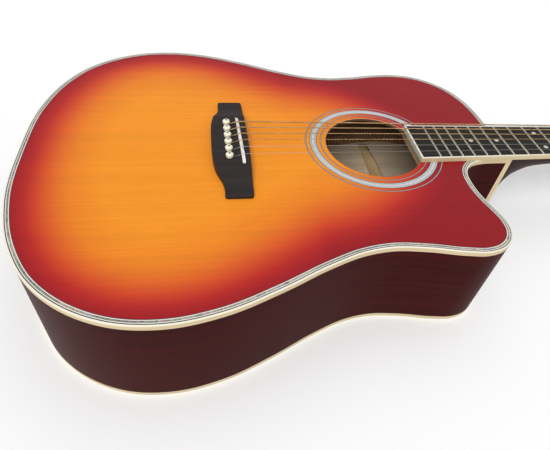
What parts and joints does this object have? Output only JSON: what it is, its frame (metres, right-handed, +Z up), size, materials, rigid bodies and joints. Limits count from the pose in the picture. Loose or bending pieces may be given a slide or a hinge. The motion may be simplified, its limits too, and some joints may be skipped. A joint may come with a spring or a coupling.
{
  "type": "acoustic guitar",
  "caption": "Steel-string acoustic guitar with a rounded cutaway, sunburst top, cream bindings, a pin bridge, turning tuners and a truss rod.",
  "frame": {"origin": "middle of the footprint, on the surface that the flat back lies on", "axes": "+X along the strings from the tail to the head, +Y to the bass side, +Z up out of the soundboard"},
  "size_m": [1.0488, 0.41, 0.1221],
  "materials": {
    "sunburst_top": "satin sunburst, amber middle to cherry red edge",
    "dark_sides": "satin dark red-brown",
    "neck_wood": "satin dark brown",
    "cream_binding": "satin cream",
    "black_and_white_lines": "thin black and white lines",
    "abalone": "iridescent shell",
    "rosette_white": "white with fine dark lines",
    "lining_wood": "raw",
    "block_wood": "raw",
    "brace_spruce": "raw spruce",
    "plate_wood": "raw",
    "bridge_wood": "satin near black",
    "white_bone": "polished",
    "black_plastic": "gloss",
    "dark_veneer": "satin near black",
    "steel": "plain",
    "brass": "plain",
    "fretboard_wood": "dark oiled wood",
    "fret_wire": "polished",
    "pearl_dots": "pearl",
    "bronze_wound": "wound phosphor bronze",
    "plain_steel": "polished",
    "chrome": "polished",
    "ivory_pins": "polished ivory plastic"
  },
  "bodies": {
    "guitar": {"soundboard": "sunburst_top", "back": "dark_sides", "side_bass": "dark_sides", "side_treble": "dark_sides", "end_strips": "cream_binding", "top_binding": "cream_binding", "back_binding": "cream_binding", "purfling_lines": "black_and_white_lines", "purfling_abalone": "abalone", "rosette_band": "rosette_white", "rosette_lines": "black_and_white_lines", "lining_top": "lining_wood", "lining_back": "lining_wood", "neck_block": "block_wood", "tail_block": "block_wood", "x_brace": "brace_spruce", "transverse_brace": "brace_spruce", "tone_bars": "brace_spruce", "finger_braces": "brace_spruce", "bridge_plate": "plate_wood", "back_braces": "brace_spruce", "back_center_strip": "brace_spruce", "bridge": "bridge_wood", "saddle": "white_bone", "end_pin": "black_plastic", "heel_cap": "cream_binding", "neck": "neck_wood", "headstock": "neck_wood", "headplate": "dark_veneer", "truss_rod": "steel", "truss_rod_cover": "black_plastic", "fretboard": "fretboard_wood", "fretboard_binding": "cream_binding", "frets": "fret_wire", "fret_markers": "pearl_dots", "nut": "white_bone", "wound_strings": "bronze_wound", "plain_strings": "plain_steel", "tuner_housings": "chrome", "tuner_bushings": "chrome", "head_screws": "chrome"},
    "truss_rod_nut": {"truss_rod_nut": "brass"},
    "tuner_button_1": {"tuner_button_1": "chrome"},
    "tuner_post_1": {"tuner_post_1": "chrome"},
    "bridge_pin_1": {"bridge_pin_1": "ivory_pins"},
    "tuner_button_2": {"tuner_button_2": "chrome"},
    "tuner_post_2": {"tuner_post_2": "chrome"},
    "bridge_pin_2": {"bridge_pin_2": "ivory_pins"},
    "tuner_button_3": {"tuner_button_3": "chrome"},
    "tuner_post_3": {"tuner_post_3": "chrome"},
    "bridge_pin_3": {"bridge_pin_3": "ivory_pins"},
    "tuner_button_4": {"tuner_button_4": "chrome"},
    "tuner_post_4": {"tuner_post_4": "chrome"},
    "bridge_pin_4": {"bridge_pin_4": "ivory_pins"},
    "tuner_button_5": {"tuner_button_5": "chrome"},
    "tuner_post_5": {"tuner_post_5": "chrome"},
    "bridge_pin_5": {"bridge_pin_5": "ivory_pins"},
    "tuner_button_6": {"tuner_button_6": "chrome"},
    "tuner_post_6": {"tuner_post_6": "chrome"},
    "bridge_pin_6": {"bridge_pin_6": "ivory_pins"}
  },
  "joints": [
    {"name": "truss_rod_nut_turn", "type": "hinge", "parent": "guitar", "child": "truss_rod_nut", "pos_m": [0.36401, 0, 0.08999], "axis": [0.9998, 0, -0.0199], "range_deg": [-180, 180]},
    {"name": "tuner_button_1_turn", "type": "hinge", "parent": "guitar", "child": "tuner_button_1", "pos_m": [0.40597, -0.025, 0.06134], "axis": [0, 1, 0], "continuous": true},
    {"name": "tuner_post_1_turn", "type": "hinge", "parent": "guitar", "child": "tuner_post_1", "pos_m": [0.40419, -0.025, 0.08499], "axis": [0.2443, 0, 0.9697], "continuous": true},
    {"name": "bridge_pin_1_pull", "type": "slide", "parent": "guitar", "child": "bridge_pin_1", "axis": [0.0199, 0, 0.9998], "range_m": [0, 0.028]},
    {"name": "tuner_button_2_turn", "type": "hinge", "parent": "guitar", "child": "tuner_button_2", "pos_m": [0.44475, -0.025, 0.05157], "axis": [0, 1, 0], "continuous": true},
    {"name": "tuner_post_2_turn", "type": "hinge", "parent": "guitar", "child": "tuner_post_2", "pos_m": [0.44298, -0.025, 0.07522], "axis": [0.2443, 0, 0.9697], "continuous": true},
    {"name": "bridge_pin_2_pull", "type": "slide", "parent": "guitar", "child": "bridge_pin_2", "axis": [0.0199, 0, 0.9998], "range_m": [0, 0.028]},
    {"name": "tuner_button_3_turn", "type": "hinge", "parent": "guitar", "child": "tuner_button_3", "pos_m": [0.48354, -0.025, 0.0418], "axis": [0, 1, 0], "continuous": true},
    {"name": "tuner_post_3_turn", "type": "hinge", "parent": "guitar", "child": "tuner_post_3", "pos_m": [0.48177, -0.025, 0.06545], "axis": [0.2443, 0, 0.9697], "continuous": true},
    {"name": "bridge_pin_3_pull", "type": "slide", "parent": "guitar", "child": "bridge_pin_3", "axis": [0.0199, 0, 0.9998], "range_m": [0, 0.028]},
    {"name": "tuner_button_4_turn", "type": "hinge", "parent": "guitar", "child": "tuner_button_4", "pos_m": [0.48354, 0.025, 0.0418], "axis": [0, 1, 0], "continuous": true},
    {"name": "tuner_post_4_turn", "type": "hinge", "parent": "guitar", "child": "tuner_post_4", "pos_m": [0.48177, 0.025, 0.06545], "axis": [0.2443, 0, 0.9697], "continuous": true},
    {"name": "bridge_pin_4_pull", "type": "slide", "parent": "guitar", "child": "bridge_pin_4", "axis": [0.0199, 0, 0.9998], "range_m": [0, 0.028]},
    {"name": "tuner_button_5_turn", "type": "hinge", "parent": "guitar", "child": "tuner_button_5", "pos_m": [0.44475, 0.025, 0.05157], "axis": [0, 1, 0], "continuous": true},
    {"name": "tuner_post_5_turn", "type": "hinge", "parent": "guitar", "child": "tuner_post_5", "pos_m": [0.44298, 0.025, 0.07522], "axis": [0.2443, 0, 0.9697], "continuous": true},
    {"name": "bridge_pin_5_pull", "type": "slide", "parent": "guitar", "child": "bridge_pin_5", "axis": [0.0199, 0, 0.9998], "range_m": [0, 0.028]},
    {"name": "tuner_button_6_turn", "type": "hinge", "parent": "guitar", "child": "tuner_button_6", "pos_m": [0.40597, 0.025, 0.06134], "axis": [0, 1, 0], "continuous": true},
    {"name": "tuner_post_6_turn", "type": "hinge", "parent": "guitar", "child": "tuner_post_6", "pos_m": [0.40419, 0.025, 0.08499], "axis": [0.2443, 0, 0.9697], "continuous": true},
    {"name": "bridge_pin_6_pull", "type": "slide", "parent": "guitar", "child": "bridge_pin_6", "axis": [0.0199, 0, 0.9998], "range_m": [0, 0.028]}
  ],
  "couplings": [
    {"joint": "tuner_post_1_turn", "follows": "tuner_button_1_turn", "ratio": 0.066667},
    {"joint": "tuner_post_2_turn", "follows": "tuner_button_2_turn", "ratio": 0.066667},
    {"joint": "tuner_post_3_turn", "follows": "tuner_button_3_turn", "ratio": 0.066667},
    {"joint": "tuner_post_4_turn", "follows": "tuner_button_4_turn", "ratio": 0.066667},
    {"joint": "tuner_post_5_turn", "follows": "tuner_button_5_turn", "ratio": 0.066667},
    {"joint": "tuner_post_6_turn", "follows": "tuner_button_6_turn", "ratio": 0.066667}
  ]
}
